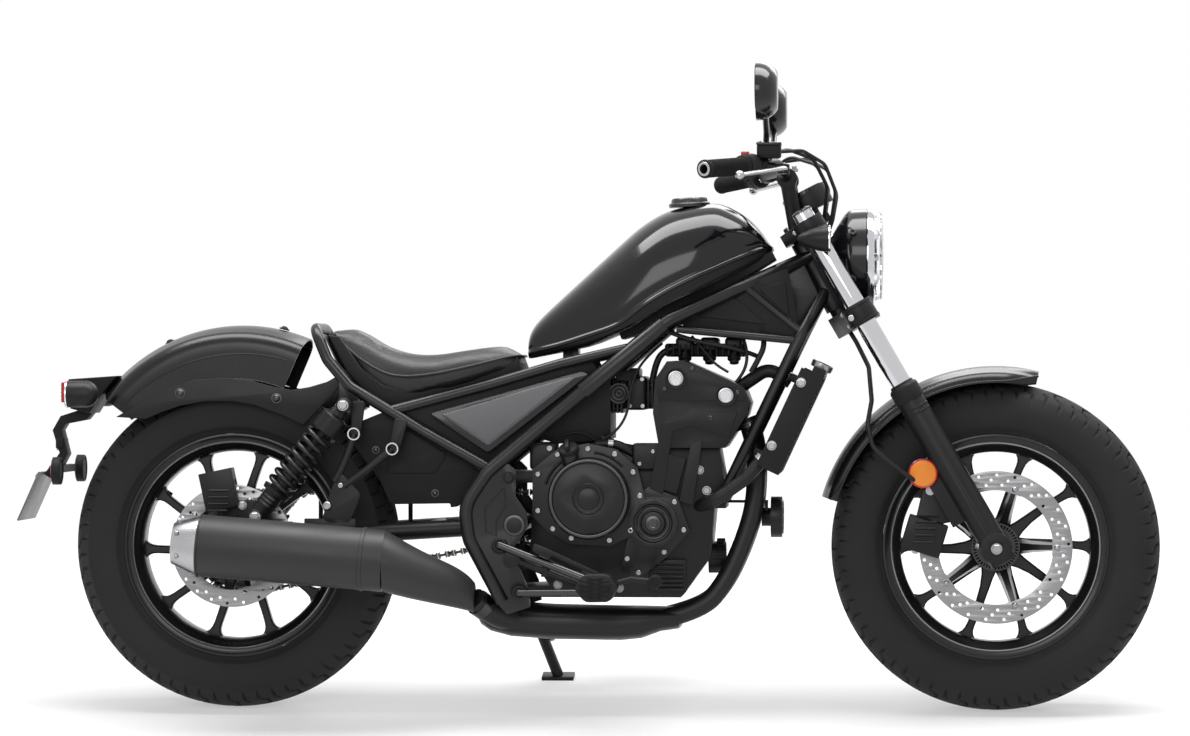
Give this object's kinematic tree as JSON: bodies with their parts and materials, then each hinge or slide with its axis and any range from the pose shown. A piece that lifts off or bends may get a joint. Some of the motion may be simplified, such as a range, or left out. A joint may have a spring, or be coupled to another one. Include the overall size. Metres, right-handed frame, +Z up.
{
  "type": "cruiser motorcycle",
  "caption": "Low cruiser motorcycle with a teardrop tank, bucket seat, raked fork, liquid-cooled engine, drive chain and low muffler, leaning on its side stand.",
  "frame": {"origin": "centre of the overall box, on the floor, with the machine leaning on its side stand", "axes": "+X forwards, +Y to the rider's left, +Z up"},
  "size_m": [2.2364, 0.8262, 1.2892],
  "materials": {
    "tyre": "dull treaded rubber",
    "wheel_black": "gloss black cast alloy",
    "disc_steel": "ground and drilled brake disc",
    "steel": "plated steel",
    "chain": "oiled chain",
    "frame_paint": "satin charcoal paint on the frame tubes",
    "satin_black": "satin black",
    "gloss_black": "gloss black",
    "tank_paint": "deep gloss black paint",
    "chrome": "polished",
    "seat_cover": "grained black cover, sewn",
    "plastic_black": "moulded",
    "engine_black": "black coated castings",
    "cover_alloy": "coated cast covers",
    "exhaust_black": "heat-proof black",
    "exhaust_steel": "heat-tinted steel",
    "grip_rubber": "ribbed",
    "hose_rubber": "smooth hose",
    "lamp_glass": "clear lens",
    "tail_red": "red lens in a black housing",
    "caliper_black": "satin black casting"
  },
  "bodies": {
    "chassis": {"rear_axle": "steel", "drive_chain": "chain", "main_frame": "frame_paint", "rear_subframe": "frame_paint", "swingarm": "satin_black", "shock_absorbers": "satin_black", "fuel_tank": "tank_paint", "fuel_cap": "chrome", "seat": "seat_cover", "side_covers": "gloss_black", "battery_box": "plastic_black", "airbox": "plastic_black", "crankcase": "engine_black", "cylinders": "engine_black", "engine_covers": "cover_alloy", "radiator": "plastic_black", "horn": "plastic_black", "muffler": "exhaust_black", "exhaust_pipes": "exhaust_steel", "peg_bracket": "satin_black", "rear_caliper": "caliper_black", "rear_fender": "tank_paint", "fender_rails": "satin_black", "tail_light": "tail_red", "rear_signals": "gloss_black", "plate_bracket": "plastic_black", "foot_controls": "satin_black", "coolant_hoses": "hose_rubber", "chain_guard": "plastic_black", "frame_panels": "plastic_black"},
    "steering": {"front_axle": "steel", "fork_lowers": "satin_black", "fork_tubes": "chrome", "fork_yokes": "satin_black", "handlebar": "satin_black", "hand_grips": "grip_rubber", "hand_controls": "satin_black", "mirrors": "gloss_black", "instrument": "gloss_black", "headlight": "gloss_black", "headlight_glass": "lamp_glass", "front_signals": "gloss_black", "front_fender": "tank_paint", "front_caliper": "caliper_black", "front_hoses": "hose_rubber"},
    "front_wheel": {"front_tyre": "tyre", "front_wheel": "wheel_black", "front_disc": "disc_steel"},
    "rear_wheel": {"rear_tyre": "tyre", "rear_wheel": "wheel_black", "rear_disc": "disc_steel", "rear_sprocket": "steel"},
    "side_stand": {"side_stand": "satin_black"}
  },
  "joints": [
    {"name": "steering_turn", "type": "hinge", "parent": "chassis", "child": "steering", "pos_m": [0.49079, -0.0582, 0.77431], "axis": [-0.4695, 0.1533, 0.8695], "range_deg": [-30, 30]},
    {"name": "front_wheel_spin", "type": "hinge", "parent": "steering", "child": "front_wheel", "pos_m": [0.79815, -0.13894, 0.31643], "axis": [0, 0.9848, -0.1736], "continuous": true},
    {"name": "rear_wheel_spin", "type": "hinge", "parent": "chassis", "child": "rear_wheel", "pos_m": [-0.69185, -0.13894, 0.31643], "axis": [0, 0.9848, -0.1736], "continuous": true},
    {"name": "side_stand_fold", "type": "hinge", "parent": "chassis", "child": "side_stand", "pos_m": [-0.13185, 0.00341, 0.17354], "axis": [0, 0.9758, 0.2189], "range_deg": [0, 100]}
  ]
}
